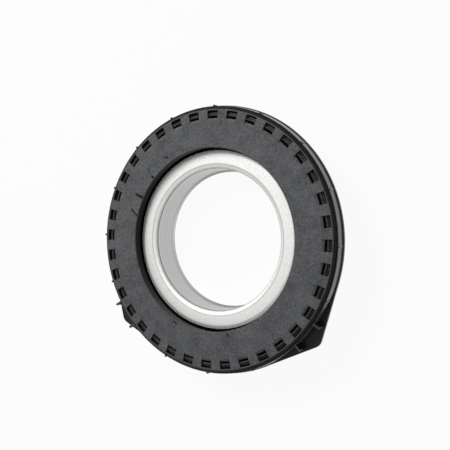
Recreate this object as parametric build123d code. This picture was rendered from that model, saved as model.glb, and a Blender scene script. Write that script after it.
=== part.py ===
from build123d import *
import math
import os

# Strut mount bearing: a flat thrust ball bearing in two moulded housings.
# The lower housing stays with the spring, the upper housing turns on the balls.
# Origin: on the bore's axis, in the plane of the hub's end that the part rests on.
# +Z points out of the upper housing's face, and the two lobes point towards -Y.
# Sizes are in millimetres and degrees.

# Steel sleeve that lines the bore
BORE_R = 35.9
SLEEVE_WALL = 2.5
COLLAR_THICK = 2.4
COLLAR_EDGE_WIDTH = 1.9
COLLAR_EDGE_DROP = 0.45
COLLAR_FACE_ROUND = 2.5
COLLAR_RIM_ROUND = 0.4
COLLAR_GAP = 0.6
COUNTERSINK_WIDTH = 2.25
COUNTERSINK_DEPTH = 1.95
COUNTERSINK_ROUND = 1.6
SLEEVE_RECESS = 0.3
BEAD_HEIGHT = 0.7
BEAD_DEPTH = 0.8
SLEEVE_FIT = 0.02

# Lower housing, from the hub's end upwards
HUB_LENGTH = 6.9
HUB_WALL = 4.6
HUB_CHAMFER = 0.8
INNER_WALL = 4.2
FLOOR_THICK = 2.0
SHELF_THICK = 1.8
SHELF_SKIRT = 2.1
WELL_GAP = 0.5
WELL_WALL = 0.7
FLANGE_EDGE = 0.4
FLANGE_THICK = 1.55
FLANGE_DEPTH = 6.5
OUTER_WALL = 0.5
OUTER_WALL_DRAFT = 0.5
OUTER_WALL_DEPTH = 1.5

# Ribs round the outer wall
RIB_COUNT = 16
RIB_THICK = 1.0
RIB_DEPTH = 1.1
RIB_SETBACK = 0.3
LOBE_RIB_REACH = 2.8
EXTRA_RIB_ANGLE = 57.0

# Two lobes of the lower housing's plate, either side of -Y
LOBE_ANGLE = 50.65
LOBE_HALF_SPREAD = 24.4
LOBE_TIP_ROUND = 5.0

# Gussets under the shelf, on the hidden side
GUSSET_COUNT = 16
GUSSET_THICK = 1.2
GUSSET_FOOT = 2.0
GUSSET_SETBACK = 1.0

# Upper housing
LIP_GAP = 0.8
LIP_REACH = 2.3
LIP_THICK = 1.6
RETAIN_GAP = 0.4
OPENING_DEPTH = 7.7
OPENING_WALL = 1.8
WEB_THICK = 6.2
FACE_ROUND = 0.35
RUNNING_GAP = 0.6
POCKET_COUNT = 36
POCKET_WIDTH = 5.46
POCKET_LENGTH = 4.85
POCKET_DEPTH = 6.5
POCKET_FLOOR = 1.5
POCKET_RIM = 0.75
POCKET_LAND = 1.8
POCKET_RAMP_LENGTH = 1.2
POCKET_RAMP_DEPTH = 0.55
POCKET_BAR_THICK = 0.95
POCKET_BAR_DEPTH = 0.7
POCKET_STEP_THICK = 0.85
POCKET_STEP_DEPTH = 1.4
POCKET_SLOT = 0.75

# Races, balls and cage
RACE_THICK = 1.8
RACE_WIDTH = 9.8
RACE_FIT = 0.05
GROOVE_DEPTH = 0.9
GROOVE_R = 2.65
BALL_DIAMETER = 5.0
BALL_COUNT = 36
BALL_GAP = 0.1
CAGE_WIDTH = 7.8
CAGE_THICK = 1.9
CAGE_BALL_GAP = 0.15

# Seals
SEAL_WIDTH = 1.2
SEAL_GAP = 0.15
SEAL_TOP_DROP = 0.35
SEAL_SLOPE = 0.75
SEAL_SIDE = 1.5
SEAL_HEIGHT = 3.8
INNER_SEAL_BASE = 1.0
INNER_SEAL_STEM = 1.4
INNER_SEAL_STEM_HEIGHT = 1.7
INNER_SEAL_LIP = 0.8
INNER_SEAL_CLEAR = 0.7

# Radii, from the bore outwards
sleeve_r = BORE_R + SLEEVE_WALL
seat_r = sleeve_r + SLEEVE_FIT
hub_r = sleeve_r + HUB_WALL
inner_wall_r = sleeve_r + INNER_WALL
lip_r = inner_wall_r + LIP_GAP
opening_r = lip_r + LIP_REACH
collar_r = opening_r - COLLAR_GAP
race_seat_inner_r = opening_r + OPENING_WALL
race_inner_r = race_seat_inner_r + RACE_FIT
race_outer_r = race_inner_r + RACE_WIDTH
race_seat_outer_r = race_outer_r + RACE_FIT
pitch_r = (race_inner_r + race_outer_r) / 2
pocket_inner_r = race_seat_outer_r + POCKET_LAND
pocket_outer_r = pocket_inner_r + POCKET_LENGTH
disc_r = pocket_outer_r + POCKET_RIM
well_r = disc_r + WELL_GAP
outer_wall_inner_r = disc_r + SEAL_WIDTH
outer_wall_r = outer_wall_inner_r + OUTER_WALL + OUTER_WALL_DRAFT
flange_r = outer_wall_r + FLANGE_EDGE
skirt_r = race_seat_outer_r + SHELF_SKIRT

# Heights, from the hub's end upwards
floor_z = HUB_LENGTH
race_seat_z = floor_z + FLOOR_THICK
lower_race_z = race_seat_z + RACE_THICK
ball_r = BALL_DIAMETER / 2
lower_groove_z = lower_race_z - GROOVE_DEPTH
ball_z = lower_groove_z + BALL_GAP + ball_r
upper_groove_z = ball_z + ball_r + BALL_GAP
upper_race_z = upper_groove_z - GROOVE_DEPTH
upper_seat_z = upper_race_z + RACE_THICK
face_z = upper_seat_z + WEB_THICK
pocket_bottom_z = face_z - POCKET_DEPTH
rim_bottom_z = pocket_bottom_z - POCKET_FLOOR
shelf_z = rim_bottom_z - RUNNING_GAP
flange_top_z = face_z - FLANGE_DEPTH
flange_bottom_z = flange_top_z - FLANGE_THICK
outer_wall_z = face_z - OUTER_WALL_DEPTH
rib_z = face_z - RIB_DEPTH
lip_top_z = face_z - OPENING_DEPTH
lip_bottom_z = lip_top_z - LIP_THICK
collar_bottom_z = lip_top_z + RETAIN_GAP
collar_top_z = collar_bottom_z + COLLAR_THICK


def turned(*corners):
    """A solid turned about Z from corners (radius, height) or (radius, height, rounding)."""
    points = [corner[:2] for corner in corners]
    rounds = [corner[2] if len(corner) == 3 else 0 for corner in corners]
    outline = FilletPolyline(*points, radius=rounds, close=True)
    return revolve(Plane.XZ * make_face(outline), axis=Axis.Z)


def sector(angle, *corners):
    """A section of (radius, height) corners turned about Z by an angle, centred on +X."""
    section = make_face(Polyline(*corners, close=True))
    return Rot(0, 0, -angle / 2) * revolve(Plane.XZ * section, axis=Axis.Z, revolution_arc=angle)


def around(shape, angles):
    """Copies of a shape turned about Z."""
    return [Rot(0, 0, angle) * shape for angle in angles]


def save(shape, name):
    export_step(shape, f"parts/{name}.step")


def steel_sleeve():
    """Thin sleeve with a flat collar, a rounded countersink and a small bead at its lower end."""
    return turned(
        (BORE_R, SLEEVE_RECESS + BEAD_HEIGHT + BEAD_DEPTH),
        (BORE_R, collar_top_z - COUNTERSINK_DEPTH),
        (BORE_R + COUNTERSINK_WIDTH, collar_top_z, COUNTERSINK_ROUND),
        (collar_r - COLLAR_EDGE_WIDTH, collar_top_z, COLLAR_FACE_ROUND),
        (collar_r, collar_top_z - COLLAR_EDGE_DROP, COLLAR_RIM_ROUND),
        (collar_r, collar_bottom_z),
        (sleeve_r, collar_bottom_z),
        (sleeve_r, SLEEVE_RECESS),
        (BORE_R - BEAD_DEPTH, SLEEVE_RECESS),
        (BORE_R - BEAD_DEPTH, SLEEVE_RECESS + BEAD_HEIGHT),
    )


def pocket_cutter():
    """One pocket with its ramp and with the stepped bar that crosses it left standing."""
    middle_r = (pocket_inner_r + pocket_outer_r) / 2
    angle = 2 * math.degrees(math.asin(POCKET_WIDTH / 2 / middle_r))
    hollow_r = pocket_inner_r + POCKET_RAMP_LENGTH
    step_outer_r = pocket_outer_r - POCKET_SLOT
    bar_outer_r = step_outer_r - POCKET_STEP_THICK
    bar_inner_r = bar_outer_r - POCKET_BAR_THICK
    bar_z = face_z - POCKET_BAR_DEPTH
    step_z = face_z - POCKET_STEP_DEPTH
    return sector(
        angle,
        (pocket_inner_r, face_z),
        (hollow_r, face_z - POCKET_RAMP_DEPTH),
        (hollow_r, pocket_bottom_z),
        (bar_inner_r, pocket_bottom_z),
        (bar_inner_r, bar_z),
        (bar_outer_r, bar_z),
        (bar_outer_r, step_z),
        (step_outer_r, step_z),
        (step_outer_r, pocket_bottom_z),
        (pocket_outer_r, pocket_bottom_z),
        (pocket_outer_r, face_z),
    )


def upper_housing():
    """Disc with the ring of pockets, a seat for the race and a lip under the sleeve's collar."""
    disc = turned(
        (opening_r, face_z, FACE_ROUND),
        (disc_r, face_z, FACE_ROUND),
        (disc_r, rim_bottom_z),
        (race_seat_outer_r, rim_bottom_z),
        (race_seat_outer_r, upper_seat_z),
        (race_seat_inner_r, upper_seat_z),
        (race_seat_inner_r, lip_bottom_z),
        (lip_r, lip_bottom_z),
        (lip_r, lip_top_z),
        (opening_r, lip_top_z),
    )
    angles = [360 / POCKET_COUNT * index for index in range(POCKET_COUNT)]
    return disc - around(pocket_cutter(), angles)


def plate():
    """The ribs' plate: a round edge with two lobes whose sides leave it at a tangent."""
    sides = (-90 - LOBE_ANGLE, -90 + LOBE_ANGLE)
    apex_r = flange_r / math.cos(math.radians(LOBE_HALF_SPREAD))
    edges = []
    for side in sides:
        corners = [
            polar(flange_r, side - LOBE_HALF_SPREAD),
            polar(apex_r, side),
            polar(flange_r, side + LOBE_HALF_SPREAD),
        ]
        edges.append(FilletPolyline(*corners, radius=LOBE_TIP_ROUND))
    front_arc = 2 * (LOBE_ANGLE - LOBE_HALF_SPREAD)
    back_arc = 360 - front_arc - 4 * LOBE_HALF_SPREAD
    edges.append(CenterArc((0, 0), flange_r, sides[0] + LOBE_HALF_SPREAD, front_arc))
    edges.append(CenterArc((0, 0), flange_r, sides[1] + LOBE_HALF_SPREAD, back_arc))
    outline = make_face(edges) - Circle(well_r + WELL_WALL)
    return Pos(0, 0, flange_bottom_z) * extrude(outline, FLANGE_THICK)


def polar(radius, angle):
    """A point in the plane at a radius and an angle from +X."""
    return (radius * math.cos(math.radians(angle)), radius * math.sin(math.radians(angle)))


def wall_rib(outer_r):
    """An upright rib on the plate, from inside the outer wall to a radius."""
    root_r = outer_wall_inner_r + OUTER_WALL / 2
    root_z = flange_top_z - FLANGE_THICK / 2
    rib = Box(
        outer_r - root_r, RIB_THICK, rib_z - root_z,
        align=(Align.MIN, Align.CENTER, Align.MIN),
    )
    return Pos(root_r, 0, root_z) * rib


def gusset():
    """A tapered web between the spring seat's side and the shelf's underside."""
    root_r = skirt_r - SHELF_SKIRT / 2
    root_z = shelf_z - SHELF_THICK / 2
    reach_r = well_r + WELL_WALL - GUSSET_SETBACK
    section = Polyline(
        (root_r, floor_z), (skirt_r + GUSSET_FOOT, floor_z),
        (reach_r, shelf_z - SHELF_THICK), (reach_r, root_z), (root_r, root_z), close=True,
    )
    return extrude(Plane.XZ * make_face(section), GUSSET_THICK / 2, both=True)


def lower_housing():
    """Hub, race seat, shelf, outer wall and two-lobed plate in one moulding."""
    shelf_bottom_z = shelf_z - SHELF_THICK
    body = turned(
        (seat_r, 0),
        (hub_r - HUB_CHAMFER, 0),
        (hub_r, HUB_CHAMFER),
        (hub_r, floor_z),
        (skirt_r, floor_z),
        (skirt_r, shelf_bottom_z),
        (well_r + WELL_WALL, shelf_bottom_z),
        (well_r + WELL_WALL, flange_bottom_z),
        (outer_wall_r, flange_bottom_z),
        (outer_wall_r, flange_top_z),
        (outer_wall_r - OUTER_WALL_DRAFT, outer_wall_z),
        (outer_wall_inner_r, outer_wall_z),
        (outer_wall_inner_r, flange_top_z),
        (well_r, flange_top_z),
        (well_r, shelf_z),
        (race_seat_outer_r, shelf_z),
        (race_seat_outer_r, race_seat_z),
        (inner_wall_r, race_seat_z),
        (inner_wall_r, collar_bottom_z),
        (seat_r, collar_bottom_z),
    )
    rib_angles = [-90 + 360 / RIB_COUNT * index for index in range(RIB_COUNT)]
    in_lobe = [angle for angle in rib_angles if lobe_reaches(angle)]
    in_lobe += [-90 - EXTRA_RIB_ANGLE, -90 + EXTRA_RIB_ANGLE]
    at_edge = [angle for angle in rib_angles if angle not in in_lobe]
    gusset_angles = [360 / GUSSET_COUNT * index for index in range(GUSSET_COUNT)]
    pieces = [plate()]
    pieces += around(wall_rib(flange_r - RIB_SETBACK), at_edge)
    pieces += around(wall_rib(outer_wall_r + LOBE_RIB_REACH), in_lobe)
    pieces += around(gusset(), gusset_angles)
    return body + pieces


def lobe_reaches(angle):
    """Whether the plate's edge at an angle is well outside the long ribs' ends."""
    for side in (-90 - LOBE_ANGLE, -90 + LOBE_ANGLE):
        off_axis = abs((angle - side + 180) % 360 - 180)
        if off_axis < LOBE_HALF_SPREAD:
            edge_r = flange_r / math.cos(math.radians(LOBE_HALF_SPREAD - off_axis))
            if edge_r > outer_wall_r + LOBE_RIB_REACH:
                return True
    return False


def race(low_z, groove_z, groove_faces_up):
    """A flat washer with a ball groove in one face."""
    washer = turned(
        (race_inner_r, low_z), (race_outer_r, low_z),
        (race_outer_r, low_z + RACE_THICK), (race_inner_r, low_z + RACE_THICK),
    )
    centre_z = groove_z + GROOVE_R if groove_faces_up else groove_z - GROOVE_R
    return washer - Pos(0, 0, centre_z) * Torus(pitch_r, GROOVE_R)


def ball_places():
    """Where the balls sit round the pitch circle."""
    return [Rot(0, 0, 360 / BALL_COUNT * index) * Pos(pitch_r, 0, ball_z)
            for index in range(BALL_COUNT)]


def ball_cage():
    """Flat ring with one round hole for each ball."""
    inner_r = pitch_r - CAGE_WIDTH / 2
    outer_r = pitch_r + CAGE_WIDTH / 2
    low_z = ball_z - CAGE_THICK / 2
    high_z = ball_z + CAGE_THICK / 2
    ring = turned((inner_r, low_z), (outer_r, low_z), (outer_r, high_z), (inner_r, high_z))
    hole = Cylinder(ball_r + CAGE_BALL_GAP, 2 * CAGE_THICK)
    return ring - [place * hole for place in ball_places()]


def outer_seal():
    """Rubber ring on the disc's edge, sloping down to the outer wall."""
    seal_r = outer_wall_inner_r - SEAL_GAP
    top_z = face_z - SEAL_TOP_DROP
    side_z = top_z - SEAL_SLOPE
    return turned(
        (disc_r, top_z),
        (seal_r, side_z),
        (seal_r, side_z - SEAL_SIDE),
        (disc_r, top_z - SEAL_HEIGHT),
    )


def inner_seal():
    """Rubber ring on the inner wall, with a lip that rises to the upper housing's lip."""
    base_r = race_inner_r - INNER_SEAL_CLEAR
    stem_r = inner_wall_r + INNER_SEAL_STEM
    base_z = race_seat_z + INNER_SEAL_BASE
    stem_z = base_z + INNER_SEAL_STEM_HEIGHT
    tip_z = lip_bottom_z - SEAL_GAP
    tip_r = (stem_r + race_seat_inner_r) / 2
    return turned(
        (inner_wall_r, race_seat_z),
        (base_r, race_seat_z),
        (base_r, base_z),
        (stem_r, base_z),
        (stem_r, stem_z - INNER_SEAL_LIP),
        (tip_r + INNER_SEAL_LIP, tip_z),
        (tip_r, tip_z),
        (stem_r - INNER_SEAL_LIP, stem_z),
        (inner_wall_r, stem_z),
    )


os.makedirs("parts", exist_ok=True)
save(steel_sleeve(), "steel_sleeve")
save(upper_housing(), "upper_housing")
save(lower_housing(), "lower_housing")
save(race(race_seat_z, lower_groove_z, True), "lower_race")
save(race(upper_race_z, upper_groove_z, False), "upper_race")
save(ball_cage(), "ball_cage")
save(outer_seal(), "outer_seal")
save(inner_seal(), "inner_seal")
for number, place in enumerate(ball_places(), start=1):
    save(place * Sphere(ball_r), f"ball_{number:02d}")
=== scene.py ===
import math

import bmesh
import bpy
from mathutils import Matrix, Vector


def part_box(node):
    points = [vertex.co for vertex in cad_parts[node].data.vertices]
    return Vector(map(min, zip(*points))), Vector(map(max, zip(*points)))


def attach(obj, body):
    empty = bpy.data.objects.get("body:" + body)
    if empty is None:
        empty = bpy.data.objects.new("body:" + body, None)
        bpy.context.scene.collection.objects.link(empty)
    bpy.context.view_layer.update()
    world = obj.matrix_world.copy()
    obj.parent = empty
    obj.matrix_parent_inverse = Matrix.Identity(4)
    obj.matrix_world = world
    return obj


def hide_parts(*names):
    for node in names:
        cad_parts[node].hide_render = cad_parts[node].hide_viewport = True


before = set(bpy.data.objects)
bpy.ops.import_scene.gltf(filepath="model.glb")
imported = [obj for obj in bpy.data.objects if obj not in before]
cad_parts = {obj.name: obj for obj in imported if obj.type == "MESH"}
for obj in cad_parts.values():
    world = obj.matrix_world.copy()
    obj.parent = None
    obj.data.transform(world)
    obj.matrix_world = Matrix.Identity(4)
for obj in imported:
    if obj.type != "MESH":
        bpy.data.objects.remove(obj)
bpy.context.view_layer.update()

# Lengths are in millimetres and angles in degrees unless a name or comment says otherwise
MM = 0.001
LOWER, UPPER = "lower", "upper"


def edge_mm(node, corner, axis):
    """One coordinate of a node's box: corner 0 is the lowest and 1 the highest."""
    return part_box(node)[corner][axis] / MM


# Heights that the frame gives
face_z = edge_mm("upper_housing", 1, 2)
lip_bottom_z = edge_mm("upper_housing", 0, 2)
upper_seat_z = edge_mm("upper_race", 1, 2)
rim_bottom_z = edge_mm("upper_race", 0, 2)
race_seat_z = edge_mm("lower_race", 0, 2)
rib_top_z = edge_mm("lower_housing", 1, 2)
collar_top_z = edge_mm("steel_sleeve", 1, 2)
sleeve_bottom_z = edge_mm("steel_sleeve", 0, 2)
seal_top_z = edge_mm("outer_seal", 1, 2)
seal_bottom_z = edge_mm("outer_seal", 0, 2)

# Radii that the frame gives
disc_r = edge_mm("upper_housing", 1, 0)
flange_r = -edge_mm("lower_housing", 0, 0)
collar_r = edge_mm("steel_sleeve", 1, 0)
race_outer_r = edge_mm("lower_race", 1, 0)
seal_r = edge_mm("outer_seal", 1, 0)

# Upper housing
COLLAR_GAP = 0.6
LIP_REACH = 2.3
LIP_THICK = 1.6
OPENING_WALL = 1.8
RACE_FIT = 0.05
POCKET_COUNT = 36
POCKET_HALF_ANGLE = 2.54
POCKET_RIM = 0.75
POCKET_LENGTH = 4.85
POCKET_DEPTH = 6.5
POCKET_SLOT = 0.75
STEP_THICK = 0.85
STEP_DEPTH = 1.4
BAR_THICK = 0.95
BAR_DEPTH = 0.7
RAMP_LENGTH = 1.2
RAMP_DEPTH = 0.55
RAMP_SINK = 0.15

# Lower housing
SLEEVE_R = 38.42
HUB_R = 43.0
INNER_WALL_R = 42.6
SKIRT_R = 59.5
FLOOR_THICK = 2.0
SHELF_THICK = 1.8
RUNNING_GAP = 0.6
WELL_GAP = 0.5
SEAL_WIDTH = 1.2
OUTER_WALL = 0.5
WALL_DRAFT = 0.5
WALL_DEPTH = 1.5
# How far below the face the outer wall's painted reflection band reaches
REFLECTION_BAND_DEPTH = 4.7
FLANGE_DEPTH = 6.5
FLANGE_THICK = 1.55
RIB_COUNT = 16
RIB_THICK = 1.0
RIB_SETBACK = 0.3
LOBE_RIB_REACH = 2.8
EXTRA_RIB_ANGLE = 57.0
LOBE_ANGLE = 50.65
LOBE_HALF_SPREAD = 24.4
LOBE_TIP_ROUND = 5.0
GUSSET_COUNT = 16
GUSSET_FOOT = 2.0

# Steel sleeve
BORE_R = 35.9
SLEEVE_FIT = 0.02
COLLAR_THICK = 2.4
COLLAR_EDGE_WIDTH = 1.9
COLLAR_EDGE_DROP = 0.45
COLLAR_FACE_ROUND = 2.5
COLLAR_RIM_ROUND = 0.4
COUNTERSINK_WIDTH = 2.25
COUNTERSINK_DEPTH = 1.95
COUNTERSINK_DROP = 0.05
COUNTERSINK_KNEE = 0.5
COUNTERSINK_KNEE_DROP = 0.65
COUNTERSINK_KNEE_ROUND = 0.7
BEAD_DEPTH = 0.8
BEAD_HEIGHT = 0.7
BEAD_ROUND = 0.25
BEAD_FADE_ROUND = 0.5
SLEEVE_EDGE_ROUND = 0.3
CREASE_ROUND = 0.1

# Outer seal
SEAL_SLOPE = 0.75
SEAL_SIDE = 1.5
SEAL_SIDE_ROUND = 0.3
SEAL_FOOT_ROUND = 0.1

# Rounding of the mouldings' edges: its width, and each kind of edge's share of it
UPPER_ROUND = 0.4
LOWER_ROUND = 0.5
FULL_SHARE = 1.0
POCKET_SHARE = 0.6
LOWER_SHARE = 0.35
SHARP_BELOW_ANGLE = 30

# How close to a radius or a height still counts as being on it, and how far below the face
# a pocket's wall still counts as the face
NEAR = 0.1
FACE_SKIN = 0.3

# Fineness of the meshes, as steps round a turn or degrees between the grid's lines
TURNED_STEPS = 360
LINE_SPACING = 1.2
RIB_MARGIN = 1.0
TIP_SPACING = 0.35
TIP_LINES = 5
TIP_MARGIN = 2.0

# Materials of the two mouldings, by the zones of their faces
# Upper housing zones other than the face hold copies of its plastic in other colours: painted
# shade in the opening and the pockets, painted light and shade on the rounded rim
FACE_ZONE, OPENING_SHADE_ZONE, POCKET_SHADE_ZONE, RIM_SHADING_ZONE = range(4)
# On the lower housing the band is a lighter copy of the plate's plastic as a painted reflection,
# and the edges a lighter copy as painted highlight
PLATE_ZONE, REFLECTION_BAND_ZONE, EDGE_HIGHLIGHT_ZONE = range(3)

# Short dark marks on the face, each from one point to another, with its width
FACE_MARKS = [
    ((-45.2, 21.9), (-41.6, 20.4), 1.5),
    ((-48.6, 14.2), (-44.9, 10.8), 0.9),
    ((-35.7, 31.5), (-35.0, 30.9), 1.3),
    ((-29.0, 41.5), (-27.0, 41.35), 0.55),
    ((-26.7, 41.3), (-26.4, 41.3), 1.2),
    ((-38.4, 35.5), (-37.3, 34.1), 0.55),
    ((-20.1, -42.9), (-18.2, -43.7), 0.8),
    ((11.4, -45.7), (12.3, -46.7), 0.8),
]

# Camera, from the bore's axis at the face
CAMERA_FROM_FACE = (164.17, 14.47, 275.38)
CAMERA_LOOK = (-0.4914, -0.0216, -0.8707)
CAMERA_UP = (-0.0331, 0.9994, -0.0060)
CAMERA_LENS = 51.69

# Floor and light: the floor's radius is in metres
FLOOR_R = 3.0
FLOOR_GLOW = 0.94
BACKGROUND = 1.0
SOFT_LIGHT = 0.1


def on_circle(radius, angle, height):
    turn = math.radians(angle)
    return Vector((radius * math.cos(turn), radius * math.sin(turn), height)) * MM


def make_piece(name, bm, body, slot, *nodes):
    """Turns a bmesh into a piece that stands for CAD nodes."""
    bmesh.ops.recalc_face_normals(bm, faces=bm.faces)
    mesh = bpy.data.meshes.new(name)
    bm.to_mesh(mesh)
    bm.free()
    mesh.shade_smooth()
    piece = bpy.data.objects.new(name, mesh)
    bpy.context.scene.collection.objects.link(piece)
    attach(piece, body)
    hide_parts(*nodes)
    return piece


def rounded_outline(corners, arc_steps=6):
    """Points of a closed section whose corners (radius, height, rounding) are rounded."""
    points = []
    count = len(corners)
    for index, (radius, height, rounding) in enumerate(corners):
        here = Vector((radius, height))
        if rounding == 0:
            points.append(here)
            continue
        back = (Vector(corners[index - 1][:2]) - here).normalized()
        ahead = (Vector(corners[(index + 1) % count][:2]) - here).normalized()
        half = back.angle(ahead) / 2
        centre = here + (back + ahead).normalized() * rounding / math.sin(half)
        start = here + back * rounding / math.tan(half) - centre
        sweep = start.angle_signed(here + ahead * rounding / math.tan(half) - centre)
        for step in range(arc_steps + 1):
            points.append(centre + Matrix.Rotation(-sweep * step / arc_steps, 2) @ start)
    return points


def turned_mesh(outline):
    """A closed mesh turned about Z from a section of (radius, height) points."""
    bm = bmesh.new()
    rings = []
    for step in range(TURNED_STEPS):
        angle = 360 * step / TURNED_STEPS
        rings.append([bm.verts.new(on_circle(point[0], angle, point[1])) for point in outline])
    for step, ring in enumerate(rings):
        following = rings[(step + 1) % TURNED_STEPS]
        for index in range(len(outline)):
            after = (index + 1) % len(outline)
            bm.faces.new((ring[index], following[index], following[after], ring[after]))
    return bm


def cell_mesh(lines, ring_count, levels, filled, place):
    """A closed mesh round the filled cells of a grid of lines, rings and levels."""
    bm = bmesh.new()
    corners = {}
    count = len(lines)

    def corner(line, ring, level):
        key = (line % count, ring, level)
        if key not in corners:
            corners[key] = bm.verts.new(place(*key))
        return corners[key]

    def solid(line, ring, level):
        inside = 0 <= ring < ring_count - 1 and 0 <= level < len(levels) - 1
        return inside and filled(line % count, ring, level)

    for line in range(count):
        for ring in range(ring_count - 1):
            for level in range(len(levels) - 1):
                if solid(line, ring, level):
                    add_cell_walls(bm, corner, solid, line, ring, level)
    return bm


def add_cell_walls(bm, corner, solid, line, ring, level):
    """The faces of one filled cell that have an empty cell on their other side."""
    for axis in range(3):
        for side in (0, 1):
            step = [0, 0, 0]
            step[axis] = 1 if side else -1
            if solid(line + step[0], ring + step[1], level + step[2]):
                continue
            wall = []
            for u, v in ((0, 0), (1, 0), (1, 1), (0, 1)):
                offset = [0, 0, 0]
                offset[axis] = side
                offset[(axis + 1) % 3] = u
                offset[(axis + 2) % 3] = v
                wall.append(corner(line + offset[0], ring + offset[1], level + offset[2]))
            if not side:
                wall.reverse()
            bm.faces.new(wall)


def weigh_edges(bm, share_of):
    """Gives outward edges their share of the rounding, from their middle's radius and height."""
    layer = bm.edges.layers.float.new("bevel_weight_edge")
    bmesh.ops.recalc_face_normals(bm, faces=bm.faces)
    for edge in bm.edges:
        if edge.calc_face_angle(0.0) < math.radians(SHARP_BELOW_ANGLE):
            continue
        middle = (edge.verts[0].co + edge.verts[1].co) / 2 / MM
        share = share_of(math.hypot(middle.x, middle.y), middle.z) if edge.is_convex else 0
        edge[layer] = share
        edge.smooth = share > 0


def set_zones(bm, zone_of):
    """Gives each face the number of its material, from its middle and its normal."""
    for face in bm.faces:
        middle = face.calc_center_median() / MM
        radius = math.hypot(middle.x, middle.y)
        face.material_index = zone_of(radius, middle.z, face.normal.z)


def round_edges(piece, width, segments, zone):
    """Rounds the weighed edges, with a zone's material on the rounding."""
    bevel = piece.modifiers.new("rounding", "BEVEL")
    bevel.width = width * MM
    bevel.segments = segments
    bevel.limit_method = "WEIGHT"
    bevel.use_clamp_overlap = False
    bevel.harden_normals = True
    bevel.material = zone


# Upper housing: a disc with pockets, each with a ramp and crossed by a stepped bar
opening_r = collar_r + COLLAR_GAP
lip_r = opening_r - LIP_REACH
race_seat_inner_r = opening_r + OPENING_WALL
race_seat_outer_r = race_outer_r + RACE_FIT
pocket_outer_r = disc_r - POCKET_RIM
pocket_inner_r = pocket_outer_r - POCKET_LENGTH
ramp_r = pocket_inner_r + RAMP_LENGTH
slot_r = pocket_outer_r - POCKET_SLOT
step_r = slot_r - STEP_THICK
bar_r = step_r - BAR_THICK
lip_top_z = lip_bottom_z + LIP_THICK
pocket_bottom_z = face_z - POCKET_DEPTH
bar_z = face_z - BAR_DEPTH
step_z = face_z - STEP_DEPTH
pocket_pitch = 360 / POCKET_COUNT

# The grid's lines across a pocket and across the land between two, as shares of them
POCKET_STEPS = (-1, -0.5, 0, 0.5, 1)
LAND_STEPS = (0.33, 0.67)


def pocket_floor(radius):
    """How high a pocket is filled at a radius."""
    if bar_r < radius < step_r:
        return bar_z
    if step_r < radius < slot_r:
        return step_z
    return pocket_bottom_z


def upper_housing_mesh():
    rings = [
        lip_r, opening_r, race_seat_inner_r, race_seat_outer_r, pocket_inner_r,
        bar_r, step_r, slot_r, pocket_outer_r, disc_r,
    ]
    levels = [
        lip_bottom_z, rim_bottom_z, lip_top_z, pocket_bottom_z, upper_seat_z,
        step_z, bar_z, face_z,
    ]
    land = pocket_pitch - 2 * POCKET_HALF_ANGLE
    lines = []
    for pocket in range(POCKET_COUNT):
        middle = pocket_pitch * pocket
        lines += [middle + POCKET_HALF_ANGLE * step for step in POCKET_STEPS]
        lines += [middle + POCKET_HALF_ANGLE + land * step for step in LAND_STEPS]
    per_pocket = len(POCKET_STEPS) + len(LAND_STEPS)

    def filled(line, ring, level):
        radius = (rings[ring] + rings[ring + 1]) / 2
        height = (levels[level] + levels[level + 1]) / 2
        in_pocket = line % per_pocket < len(POCKET_STEPS) - 1
        if radius < opening_r:
            return height < lip_top_z
        if radius < race_seat_inner_r:
            return True
        if radius < race_seat_outer_r:
            return height > upper_seat_z
        if height < rim_bottom_z:
            return False
        if in_pocket and pocket_inner_r < radius < pocket_outer_r:
            return height < pocket_floor(radius)
        return True

    def place(line, ring, level):
        return on_circle(rings[ring], lines[line], levels[level])

    bm = cell_mesh(lines, len(rings), levels, filled, place)
    add_ramps(bm)
    weigh_edges(bm, upper_share)
    set_zones(bm, upper_zone)
    return bm


def upper_share(radius, height):
    """The disc's outer and inner edge are rounded in full, and the ramps' foot isn't."""
    at_disc_edge = radius > disc_r - NEAR or radius < opening_r + NEAR
    if at_disc_edge and height > face_z - NEAR:
        return FULL_SHARE
    if pocket_inner_r - NEAR < radius < (pocket_inner_r + ramp_r) / 2 + NEAR:
        return 0.0
    return POCKET_SHARE


# Faces in the opening and in the pockets get darker copies of the face's plastic: painted shade
def upper_zone(radius, height, up):
    if radius < opening_r + NEAR:
        return OPENING_SHADE_ZONE
    in_pockets = ramp_r - NEAR < radius < pocket_outer_r + NEAR
    return POCKET_SHADE_ZONE if in_pockets and height < face_z - FACE_SKIN else FACE_ZONE


def add_ramps(bm):
    """A sloped block at each pocket's inner end, sunk a little into the pocket's sides."""
    section = [
        (pocket_inner_r, pocket_bottom_z), (ramp_r, pocket_bottom_z),
        (ramp_r, face_z - RAMP_DEPTH), (pocket_inner_r, face_z),
    ]
    sunk = POCKET_HALF_ANGLE + math.degrees(RAMP_SINK / pocket_inner_r)
    for pocket in range(POCKET_COUNT):
        slices = []
        for step in POCKET_STEPS:
            angle = pocket_pitch * pocket + sunk * step
            slices.append([bm.verts.new(on_circle(r, angle, z)) for r, z in section])
        for here, following in zip(slices, slices[1:]):
            for index in range(len(section)):
                after = (index + 1) % len(section)
                bm.faces.new((here[index], following[index], following[after], here[after]))
        bm.faces.new(slices[0])
        bm.faces.new(slices[-1][::-1])


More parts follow.
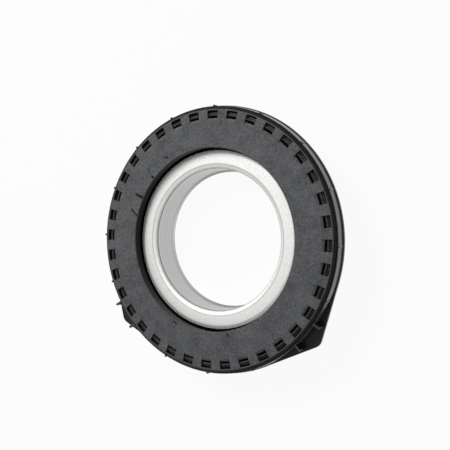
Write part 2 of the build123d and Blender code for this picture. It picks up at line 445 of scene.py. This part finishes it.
# Lower housing: hub, race seat, shelf, well, outer wall, ribs and the two-lobed plate
hub_end_z = 0.0
floor_z = race_seat_z - FLOOR_THICK
shelf_z = rim_bottom_z - RUNNING_GAP
shelf_bottom_z = shelf_z - SHELF_THICK
collar_bottom_z = collar_top_z - COLLAR_THICK
flange_top_z = face_z - FLANGE_DEPTH
flange_bottom_z = flange_top_z - FLANGE_THICK
wall_top_z = face_z - WALL_DEPTH
reflection_band_z = face_z - REFLECTION_BAND_DEPTH
well_r = disc_r + WELL_GAP
wall_inner_r = disc_r + SEAL_WIDTH
wall_top_r = wall_inner_r + OUTER_WALL
wall_r = wall_top_r + WALL_DRAFT
lobe_sides = (-90 - LOBE_ANGLE, -90 + LOBE_ANGLE)


def off_lobe(angle):
    """How far an angle is from the nearer lobe's middle."""
    return min(abs((angle - side + 180) % 360 - 180) for side in lobe_sides)


def plate_edge(angle):
    """The plate's radius at an angle: round, straight along a lobe's sides, round at its tip."""
    off = off_lobe(angle)
    if off >= LOBE_HALF_SPREAD:
        return flange_r
    spread = math.radians(LOBE_HALF_SPREAD)
    centre_r = (flange_r - LOBE_TIP_ROUND) / math.cos(spread)
    tip_off = math.degrees(math.atan2(
        LOBE_TIP_ROUND * math.sin(spread), centre_r + LOBE_TIP_ROUND * math.cos(spread)))
    if off > tip_off:
        return flange_r / math.cos(math.radians(LOBE_HALF_SPREAD - off))
    turn = math.radians(off)
    across = LOBE_TIP_ROUND ** 2 - (centre_r * math.sin(turn)) ** 2
    return centre_r * math.cos(turn) + math.sqrt(across)


def lower_housing_lines():
    """The grid's lines as (angle, offset in millimetres, rib index or None)."""
    ribs = [-90 + 360 / RIB_COUNT * index for index in range(RIB_COUNT)]
    ribs += [-90 - EXTRA_RIB_ANGLE, -90 + EXTRA_RIB_ANGLE]
    ribs = sorted(angle % 360 for angle in ribs)
    lines = []
    for index, angle in enumerate(ribs):
        following = ribs[(index + 1) % len(ribs)] + (360 if index + 1 == len(ribs) else 0)
        lines.append((angle, -RIB_THICK / 2, index))
        lines.append((angle, RIB_THICK / 2, index))
        start = angle + RIB_MARGIN
        end = following - RIB_MARGIN
        count = max(2, round((end - start) / LINE_SPACING))
        between = [start + (end - start) * step / count for step in range(count + 1)]
        for side in lobe_sides:
            tip = side % 360
            if start < tip < end:
                between = [a for a in between if abs(a - tip) > TIP_MARGIN]
                between += [tip + TIP_SPACING * step for step in range(-TIP_LINES, TIP_LINES + 1)]
        lines += [(a, 0.0, None) for a in sorted(between)]
    return lines, ribs


def lower_housing_mesh():
    lines, ribs = lower_housing_lines()
    # A ring of cells has the name of the part that it makes, and starts at its own radius
    rings = [
        SLEEVE_R, INNER_WALL_R, HUB_R, race_seat_outer_r, SKIRT_R, well_r,
        wall_inner_r, wall_r, (wall_r + flange_r) / 2, flange_r,
    ]
    inner_wall, hub, seat, skirt, shelf, well, outer_wall, rib_end, plate, edge = range(10)
    # Each layer of cells from the hub's end up: its lowest height and what is filled all round
    layers = [
        (hub_end_z, {inner_wall, hub}),
        (floor_z, {inner_wall, hub, seat, skirt}),
        (race_seat_z, {inner_wall, skirt}),
        (shelf_bottom_z, {inner_wall, skirt, shelf, well}),
        (shelf_z, {inner_wall, well}),
        (flange_bottom_z, {inner_wall, well, outer_wall, rib_end, plate}),
        (collar_bottom_z, {well, outer_wall, rib_end, plate}),
        (flange_top_z, {outer_wall}),
        (reflection_band_z, {outer_wall}),
        (wall_top_z, set()),
    ]
    levels = [height for height, _ in layers] + [rib_top_z]
    long_ribs = {index for index, angle in enumerate(ribs)
                 if plate_edge(angle) > wall_r + LOBE_RIB_REACH}
    pitch = 360 / GUSSET_COUNT
    over_gussets = {index for index, angle in enumerate(ribs)
                    if abs(angle / pitch - round(angle / pitch)) < 0.01}

    def filled(line, ring, level):
        height, all_round = layers[level]
        if ring in all_round:
            return True
        _, offset, rib = lines[line]
        if rib is None or offset > 0:
            return False
        if height >= flange_top_z:
            return ring in (outer_wall, rib_end)
        return rib in over_gussets and floor_z <= height < shelf_bottom_z and ring == shelf

    def place(line, ring, level):
        angle, offset, rib = lines[line]
        radius = rings[ring]
        height = levels[level]
        if ring == hub and height == hub_end_z:
            # Leaves the hub's end enough flat beside its rounded edge
            radius = (SLEEVE_R + HUB_R) / 2
        if ring == rib_end and height > flange_top_z:
            drop = (wall_top_z - height) / (wall_top_z - flange_top_z)
            radius = wall_top_r + WALL_DRAFT * max(0, drop)
        if ring == plate and rib is not None:
            radius = wall_r + LOBE_RIB_REACH if rib in long_ribs else flange_r - RIB_SETBACK
        if ring == edge:
            radius = plate_edge(angle + math.degrees(math.asin(offset / flange_r)))
        if ring == well and floor_z <= height < shelf_bottom_z:
            share = (height - floor_z) / (shelf_bottom_z - floor_z)
            foot_r = SKIRT_R + GUSSET_FOOT
            radius = foot_r + share * (well_r - foot_r)
        turn = angle + math.degrees(math.asin(offset / radius))
        return on_circle(radius, turn, height)

    bm = cell_mesh(lines, len(rings), levels, filled, place)
    weigh_edges(bm, lower_share)
    set_zones(bm, lower_zone)
    return bm


def lower_share(radius, height):
    return FULL_SHARE if height < hub_end_z + NEAR else LOWER_SHARE


def lower_zone(radius, height, up):
    """The band is the upper part of the outer wall, between the ribs, made lighter as a painted
    reflection.
    """
    faces_sideways = abs(up) < 0.3
    if height < flange_bottom_z or radius < wall_inner_r + NEAR:
        return PLATE_ZONE
    if height < flange_top_z:
        return EDGE_HIGHLIGHT_ZONE if faces_sideways else PLATE_ZONE
    if radius < wall_r + 0.15:
        return REFLECTION_BAND_ZONE if height > reflection_band_z and faces_sideways else PLATE_ZONE
    at_rib_end = up > 0.5 or radius > wall_r + LOBE_RIB_REACH - 2 * NEAR
    return EDGE_HIGHLIGHT_ZONE if at_rib_end else PLATE_ZONE


# Steel sleeve and outer seal: turned sections
def sleeve_outline():
    seat_r = SLEEVE_R - SLEEVE_FIT
    crease_z = collar_top_z - COUNTERSINK_DROP
    knee_z = collar_top_z - COUNTERSINK_KNEE_DROP
    bead_top_z = sleeve_bottom_z + BEAD_HEIGHT
    return rounded_outline([
        (BORE_R, bead_top_z + BEAD_DEPTH, BEAD_FADE_ROUND),
        (BORE_R, collar_top_z - COUNTERSINK_DEPTH, CREASE_ROUND),
        (BORE_R + COUNTERSINK_KNEE, knee_z, COUNTERSINK_KNEE_ROUND),
        (BORE_R + COUNTERSINK_WIDTH, crease_z, CREASE_ROUND),
        (collar_r - COLLAR_EDGE_WIDTH, collar_top_z, COLLAR_FACE_ROUND),
        (collar_r, collar_top_z - COLLAR_EDGE_DROP, COLLAR_RIM_ROUND),
        (collar_r, collar_bottom_z, SLEEVE_EDGE_ROUND),
        (seat_r, collar_bottom_z, 0),
        (seat_r, sleeve_bottom_z, SLEEVE_EDGE_ROUND),
        (BORE_R - BEAD_DEPTH, sleeve_bottom_z, BEAD_ROUND),
        (BORE_R - BEAD_DEPTH, bead_top_z, BEAD_ROUND),
    ])


def seal_outline():
    side_top_z = seal_top_z - SEAL_SLOPE
    return rounded_outline([
        (disc_r, seal_top_z, SEAL_FOOT_ROUND),
        (seal_r, side_top_z, SEAL_SIDE_ROUND),
        (seal_r, side_top_z - SEAL_SIDE, SEAL_SIDE_ROUND),
        (disc_r, seal_bottom_z, SEAL_FOOT_ROUND),
    ])


# Materials
class Nodes:
    """A node tree with short calls for adding and joining nodes."""

    def __init__(self, owner, output):
        owner.use_nodes = True
        self.tree = owner.node_tree
        self.tree.nodes.clear()
        self.output = self.add(output)

    def add(self, kind, **settings):
        node = self.tree.nodes.new(kind)
        for key, value in settings.items():
            setattr(node, key, value)
        return node

    def join(self, source, target):
        self.tree.links.new(source, target)

    def math(self, operation, *values):
        node = self.add("ShaderNodeMath", operation=operation)
        for socket, value in zip(node.inputs, values):
            if isinstance(value, (int, float)):
                socket.default_value = value
            else:
                self.join(value, socket)
        return node.outputs[0]

    def seen_directly(self):
        """1 for rays from the camera and for mirror and glass rays, 0 for the rest."""
        path = self.add("ShaderNodeLightPath").outputs
        seen = self.math("MAXIMUM", path["Is Camera Ray"], path["Is Glossy Ray"])
        return self.math("MAXIMUM", seen, path["Is Transmission Ray"])


class Finish(Nodes):
    """A material on one shader, laid out in the piece's own coordinates, in metres."""

    def __init__(self, name, metallic=0.0):
        self.material = bpy.data.materials.new(name)
        super().__init__(self.material, "ShaderNodeOutputMaterial")
        self.shader = self.add("ShaderNodeBsdfPrincipled")
        self.shader.inputs["Metallic"].default_value = metallic
        self.join(self.shader.outputs["BSDF"], self.output.inputs["Surface"])
        self.place = self.add("ShaderNodeTexCoord").outputs["Object"]

    def set(self, name, value):
        """One of the shader's sockets, as a number or as another node's output."""
        if isinstance(value, (int, float)):
            self.shader.inputs[name].default_value = value
        else:
            self.join(value, self.shader.inputs[name])

    def noise(self, scale, detail=3.0, roughness=0.5):
        node = self.add("ShaderNodeTexNoise")
        self.join(self.place, node.inputs["Vector"])
        node.inputs["Scale"].default_value = scale
        node.inputs["Detail"].default_value = detail
        node.inputs["Roughness"].default_value = roughness
        return node.outputs["Fac"]

    def noise_along(self, value, scale):
        """Noise that changes along one value only, as tool marks do."""
        node = self.add("ShaderNodeTexNoise", noise_dimensions="1D")
        self.join(value, node.inputs["W"])
        node.inputs["Scale"].default_value = scale
        return node.outputs["Fac"]

    def blend(self, value, low, high, dark, light):
        """A colour that goes from dark to light as the value goes from low to high."""
        ramp = self.add("ShaderNodeValToRGB")
        self.join(value, ramp.inputs["Fac"])
        ramp.color_ramp.elements[0].position = low
        ramp.color_ramp.elements[0].color = (*dark, 1)
        ramp.color_ramp.elements[1].position = high
        ramp.color_ramp.elements[1].color = (*light, 1)
        return ramp.outputs["Color"]

    def tint(self, share, colour, other):
        """A colour with a share of another one mixed in."""
        mix = self.add("ShaderNodeMix", data_type="RGBA")
        self.join(share, mix.inputs["Factor"])
        self.join(colour, mix.inputs["A"])
        mix.inputs["B"].default_value = (*other, 1)
        return mix.outputs["Result"]

    def span(self, value, low, high, new_low, new_high):
        """The value's range low to high turned into new_low to new_high, clamped."""
        node = self.add("ShaderNodeMapRange")
        self.join(value, node.inputs["Value"])
        numbers = (low, high, new_low, new_high)
        for name, number in zip(("From Min", "From Max", "To Min", "To Max"), numbers):
            node.inputs[name].default_value = number
        return node.outputs["Result"]

    def bump(self, height, distance, strength=1.0, below=None):
        node = self.add("ShaderNodeBump")
        self.join(height, node.inputs["Height"])
        node.inputs["Distance"].default_value = distance
        node.inputs["Strength"].default_value = strength
        if below is not None:
            self.join(below, node.inputs["Normal"])
        return node.outputs["Normal"]

    def axes(self):
        split = self.add("ShaderNodeSeparateXYZ")
        self.join(self.place, split.inputs[0])
        return split.outputs

    def distance(self, x, y):
        """The length of the vector (x, y)."""
        squares = self.math("ADD", self.math("MULTIPLY", x, x), self.math("MULTIPLY", y, y))
        return self.math("SQRT", squares)

    def radius(self):
        x, y, _ = self.axes()
        return self.distance(x, y)

    def away_from(self, value, spot):
        """How far a value is from a spot given in millimetres."""
        return self.math("ABSOLUTE", self.math("SUBTRACT", value, spot * MM))


def moulded_plastic(name, dark, light, rough, gloss, grain=0.5):
    """Black glass-filled nylon with cloudy flow marks: rough is its most and least roughness."""
    finish = Finish(name)
    cloud = finish.noise(150, 6.0, 0.75)
    speck = finish.noise(900, 3.0, 0.6)
    halves = [finish.math("MULTIPLY", value, 0.5) for value in (cloud, speck)]
    tone = finish.math("ADD", *halves)
    finish.colour = finish.blend(tone, 0.38, 0.62, dark, light)
    finish.set("Base Color", finish.colour)
    finish.set("Roughness", finish.span(cloud, 0.35, 0.65, *rough))
    finish.set("Specular IOR Level", gloss)
    ripple = finish.bump(finish.noise(220, 4.0), 0.00003, 0.4 * grain)
    finish.set("Normal", finish.bump(speck, 0.00004, grain, ripple))
    return finish


def face_plastic():
    """The disc's satin face, with the few black scuffs and nicks near its opening."""
    finish = moulded_plastic(
        "face_plastic", (0.078, 0.0797, 0.0825), (0.180, 0.184, 0.190), (0.60, 0.50), 0.14)
    marks = None
    for start, end, width in FACE_MARKS:
        mark = stroke(finish, start, end, width)
        marks = mark if marks is None else finish.math("MAXIMUM", marks, mark)
    finish.set("Base Color", finish.tint(marks, finish.colour, (0.0015, 0.0015, 0.0015)))
    return finish


def stroke(finish, start, end, width):
    """1 on a short straight mark between two points of the face, and 0 away from it."""
    x, y, z = finish.axes()
    along = Vector(end) - Vector(start)
    length = along.length
    along /= length
    middle = (Vector(start) + Vector(end)) / 2 * MM
    from_x = finish.math("SUBTRACT", x, middle.x)
    from_y = finish.math("SUBTRACT", y, middle.y)
    run = finish.math("ADD", finish.math("MULTIPLY", from_x, along.x),
                      finish.math("MULTIPLY", from_y, along.y))
    side = finish.math("SUBTRACT", finish.math("MULTIPLY", from_y, along.x),
                       finish.math("MULTIPLY", from_x, along.y))
    past = finish.math("SUBTRACT", finish.math("ABSOLUTE", run), length / 2 * MM)
    off = finish.distance(finish.math("MAXIMUM", past, 0.0), side)
    inked = finish.span(off, width * 0.35 * MM, width * 0.65 * MM, 1.0, 0.0)
    on_face = finish.span(z, (face_z - 0.5) * MM, (face_z - 0.3) * MM, 0.0, 1.0)
    return finish.math("MULTIPLY", inked, on_face)


def blasted_steel():
    """A pale blasted collar, with painted shade tinted tan at its crease, and a dark line of
    painted shade at the edge of a smoother bore.
    """
    finish = Finish("sleeve_steel", metallic=1.0)
    grain = finish.noise(1500, 3.0, 0.7)
    radius = finish.radius()
    height = finish.axes()[2]
    colour = finish.blend(grain, 0.32, 0.68, (0.525, 0.525, 0.513), (0.67, 0.67, 0.66))

    # A darker tan line at the countersink's crease: painted shade, tinted tan as a painted
    # reflection
    off_crease = finish.away_from(radius, BORE_R + COUNTERSINK_WIDTH)
    crease_shade = finish.span(off_crease, 0.0001, 0.00055, 0.6, 0.0)
    colour = finish.tint(crease_shade, colour, (0.34, 0.30, 0.25))

    in_bore = finish.span(radius, (BORE_R + 0.02) * MM, (BORE_R + 0.1) * MM, 1.0, 0.0)
    bore_share = finish.math("MULTIPLY", in_bore, 0.75)
    colour = finish.tint(bore_share, colour, (0.52, 0.53, 0.53))
    turning = finish.span(finish.noise_along(height, 900), 0.3, 0.7, 0.0, 0.45)
    turned = finish.math("MULTIPLY", in_bore, turning)
    colour = finish.tint(turned, colour, (0.27, 0.275, 0.27))

    # A dark line where the countersink meets the bore: painted shade
    off_edge = finish.away_from(height, collar_top_z - COUNTERSINK_DEPTH)
    near_bore = finish.span(radius, (BORE_R + 0.3) * MM, (BORE_R + 0.5) * MM, 1.0, 0.0)
    edge_shade = finish.span(off_edge, 0.0002, 0.0005, 0.75, 0.0)
    colour = finish.tint(finish.math("MULTIPLY", near_bore, edge_shade), colour, (0.12, 0.115, 0.10))

    finish.set("Base Color", colour)
    finish.set("Roughness", finish.span(in_bore, 0.0, 1.0, 0.60, 0.30))
    finish.set("Normal", finish.bump(grain, 0.00003, 0.5))
    return finish


def ground_steel():
    finish = Finish("race_steel", metallic=1.0)
    rings = finish.noise_along(finish.radius(), 6000)
    finish.set("Base Color", finish.blend(rings, 0.3, 0.7, (0.52, 0.52, 0.53), (0.68, 0.68, 0.69)))
    finish.set("Roughness", 0.28)
    finish.set("Normal", finish.bump(rings, 0.00001, 0.4))
    return finish


def polished_steel():
    finish = Finish("ball_steel", metallic=1.0)
    smear = finish.noise(400)
    finish.set("Base Color", finish.blend(smear, 0.3, 0.7, (0.72, 0.72, 0.74), (0.82, 0.82, 0.84)))
    finish.set("Roughness", finish.span(smear, 0.3, 0.7, 0.06, 0.14))
    return finish


def cage_plastic():
    finish = Finish("cage_plastic")
    cloud = finish.noise(250)
    finish.set("Base Color", finish.blend(cloud, 0.3, 0.7, (0.52, 0.47, 0.36), (0.62, 0.57, 0.46)))
    finish.set("Roughness", 0.45)
    finish.set("Normal", finish.bump(finish.noise(2500), 0.00001, 0.4))
    return finish


def seal_rubber():
    finish = Finish("seal_rubber")
    dust = finish.noise(300, 4.0)
    colour = finish.blend(dust, 0.35, 0.75, (0.004, 0.004, 0.0042), (0.009, 0.009, 0.0095))
    finish.set("Base Color", colour)
    finish.set("Specular IOR Level", 0.15)
    finish.set("Roughness", 0.6)
    finish.set("Normal", finish.bump(finish.noise(2200), 0.00002, 0.5))
    return finish


# Pieces
upper_housing = make_piece(
    "upper_housing_disc", upper_housing_mesh(), UPPER, "upper_plastic", "upper_housing")
round_edges(upper_housing, UPPER_ROUND, 3, RIM_SHADING_ZONE)
lower_housing = make_piece(
    "lower_housing_plate", lower_housing_mesh(), LOWER, "lower_plastic", "lower_housing")
round_edges(lower_housing, LOWER_ROUND, 2, EDGE_HIGHLIGHT_ZONE)
sleeve = make_piece(
    "steel_sleeve_ring", turned_mesh(sleeve_outline()), LOWER, "sleeve_steel", "steel_sleeve")
seal = make_piece(
    "outer_seal_ring", turned_mesh(seal_outline()), UPPER, "seal_rubber", "outer_seal")

# The opening's wall: a far darker, glossier copy of the face's plastic, its darkness painted shade
opening_shade_plastic = moulded_plastic(
    "opening_shade_plastic", (0.0025, 0.0026, 0.0028), (0.005, 0.0051, 0.0055), (0.06, 0.04), 0.12,
    grain=0.0)
# The rounded edges of the disc and the pockets: a darker, glossier copy of the face's plastic, its
# colour set as painted light and shade on the edges
rim_shading_plastic = moulded_plastic(
    "rim_shading_plastic", (0.050, 0.0513, 0.0535), (0.100, 0.102, 0.105), (0.42, 0.34), 0.18, grain=0.3)
# The pockets' insides: a darker copy of the face's plastic, as painted shade in the recesses
pocket_shade_plastic = moulded_plastic(
    "pocket_shade_plastic", (0.022, 0.0225, 0.023), (0.054, 0.055, 0.057), (0.55, 0.45), 0.08,
    grain=0.3)
plate_plastic = moulded_plastic(
    "plate_plastic", (0.005, 0.0051, 0.0054), (0.011, 0.0113, 0.012), (0.42, 0.32), 0.2)
# The outer wall's upper band: a lighter, glossier olive copy of the plate's plastic, as a painted
# reflection
reflection_band_plastic = moulded_plastic(
    "wall_reflection_plastic", (0.050, 0.049, 0.041), (0.085, 0.084, 0.072), (0.24, 0.17), 1.0, grain=0.1)
# The lower housing's rounded edges, flange side, rib tops and rib ends: a lighter copy of the
# plate's plastic, as painted highlight
edge_highlight_plastic = moulded_plastic(
    "edge_highlight_plastic", (0.020, 0.020, 0.019), (0.045, 0.045, 0.042), (0.34, 0.26), 0.4, grain=0.2)
rubber = seal_rubber()


def dress(piece, *finishes):
    """Gives a piece its materials, in the order of its zones."""
    for finish in finishes:
        piece.data.materials.append(finish.material)


def dress_node(node, finish):
    """Gives a CAD node one material in place of its own."""
    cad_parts[node].data.materials.clear()
    dress(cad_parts[node], finish)


dress(upper_housing, face_plastic(), opening_shade_plastic, pocket_shade_plastic, rim_shading_plastic)
dress(lower_housing, plate_plastic, reflection_band_plastic, edge_highlight_plastic)
dress(sleeve, blasted_steel())
dress(seal, rubber)
race_finish = ground_steel()
ball_finish = polished_steel()
dress_node("lower_race", race_finish)
dress_node("upper_race", race_finish)
dress_node("ball_cage", cage_plastic())
dress_node("inner_seal", rubber)
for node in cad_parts:
    if node.startswith("ball_") and node != "ball_cage":
        dress_node(node, ball_finish)


# Camera, floor, background and lights
def add_camera():
    data = bpy.data.cameras.new("camera")
    data.sensor_width = 36
    data.lens = CAMERA_LENS
    camera = bpy.data.objects.new("camera", data)
    back = -Vector(CAMERA_LOOK).normalized()
    right = Vector(CAMERA_UP).cross(back).normalized()
    up = back.cross(right)
    turn = Matrix((right, up, back)).transposed()
    spot = (Vector(CAMERA_FROM_FACE) + Vector((0, 0, face_z))) * MM
    camera.matrix_world = Matrix.Translation(spot) @ turn.to_4x4()
    bpy.context.scene.collection.objects.link(camera)
    bpy.context.scene.camera = camera


def add_floor():
    """A pale sheet of paper that shows as white and keeps a soft shadow."""
    bm = bmesh.new()
    bmesh.ops.create_circle(bm, cap_ends=True, segments=96, radius=FLOOR_R)
    mesh = bpy.data.meshes.new("floor")
    bm.to_mesh(mesh)
    bm.free()
    floor = bpy.data.objects.new("floor", mesh)
    bpy.context.scene.collection.objects.link(floor)
    paper = Finish("floor_paper")
    tone = paper.blend(paper.noise(12), 0.3, 0.7, (0.84, 0.84, 0.84), (0.86, 0.86, 0.86))
    paper.set("Base Color", tone)
    paper.set("Roughness", 0.9)
    paper.set("Specular IOR Level", 0.1)
    glow = paper.add("ShaderNodeEmission")
    glow.inputs["Strength"].default_value = 1.0
    mix = paper.add("ShaderNodeMixShader")
    paper.join(paper.math("MULTIPLY", paper.seen_directly(), FLOOR_GLOW), mix.inputs[0])
    paper.join(paper.shader.outputs["BSDF"], mix.inputs[1])
    paper.join(glow.outputs["Emission"], mix.inputs[2])
    paper.join(mix.outputs[0], paper.output.inputs["Surface"])
    dress(floor, paper)


def add_world():
    """A white background that lights the object only softly."""
    world = bpy.data.worlds.new("studio")
    bpy.context.scene.world = world
    sky = Nodes(world, "ShaderNodeOutputWorld")
    mix = sky.add("ShaderNodeMixShader")
    sky.join(sky.seen_directly(), mix.inputs[0])
    for socket, strength in ((mix.inputs[1], SOFT_LIGHT), (mix.inputs[2], BACKGROUND)):
        white = sky.add("ShaderNodeBackground")
        white.inputs["Color"].default_value = (1, 1, 1, 1)
        white.inputs["Strength"].default_value = strength
        sky.join(white.outputs[0], socket)
    sky.join(mix.outputs[0], sky.output.inputs["Surface"])


def add_area_light(name, spot, size, power):
    """A square soft light at a spot in metres, aimed at the object."""
    data = bpy.data.lights.new(name, "AREA")
    data.size = size
    data.energy = power
    light = bpy.data.objects.new(name, data)
    light.location = spot
    light.rotation_euler = (-Vector(spot)).to_track_quat("-Z", "Y").to_euler()
    bpy.context.scene.collection.objects.link(light)


add_camera()
add_floor()
add_world()
add_area_light("key", spot=(-0.49, 0.59, 0.76), size=0.32, power=7.8)
add_area_light("fill", spot=(0.75, -0.2, 0.8), size=0.6, power=0.6)
bpy.context.scene.view_settings.view_transform = "Standard"
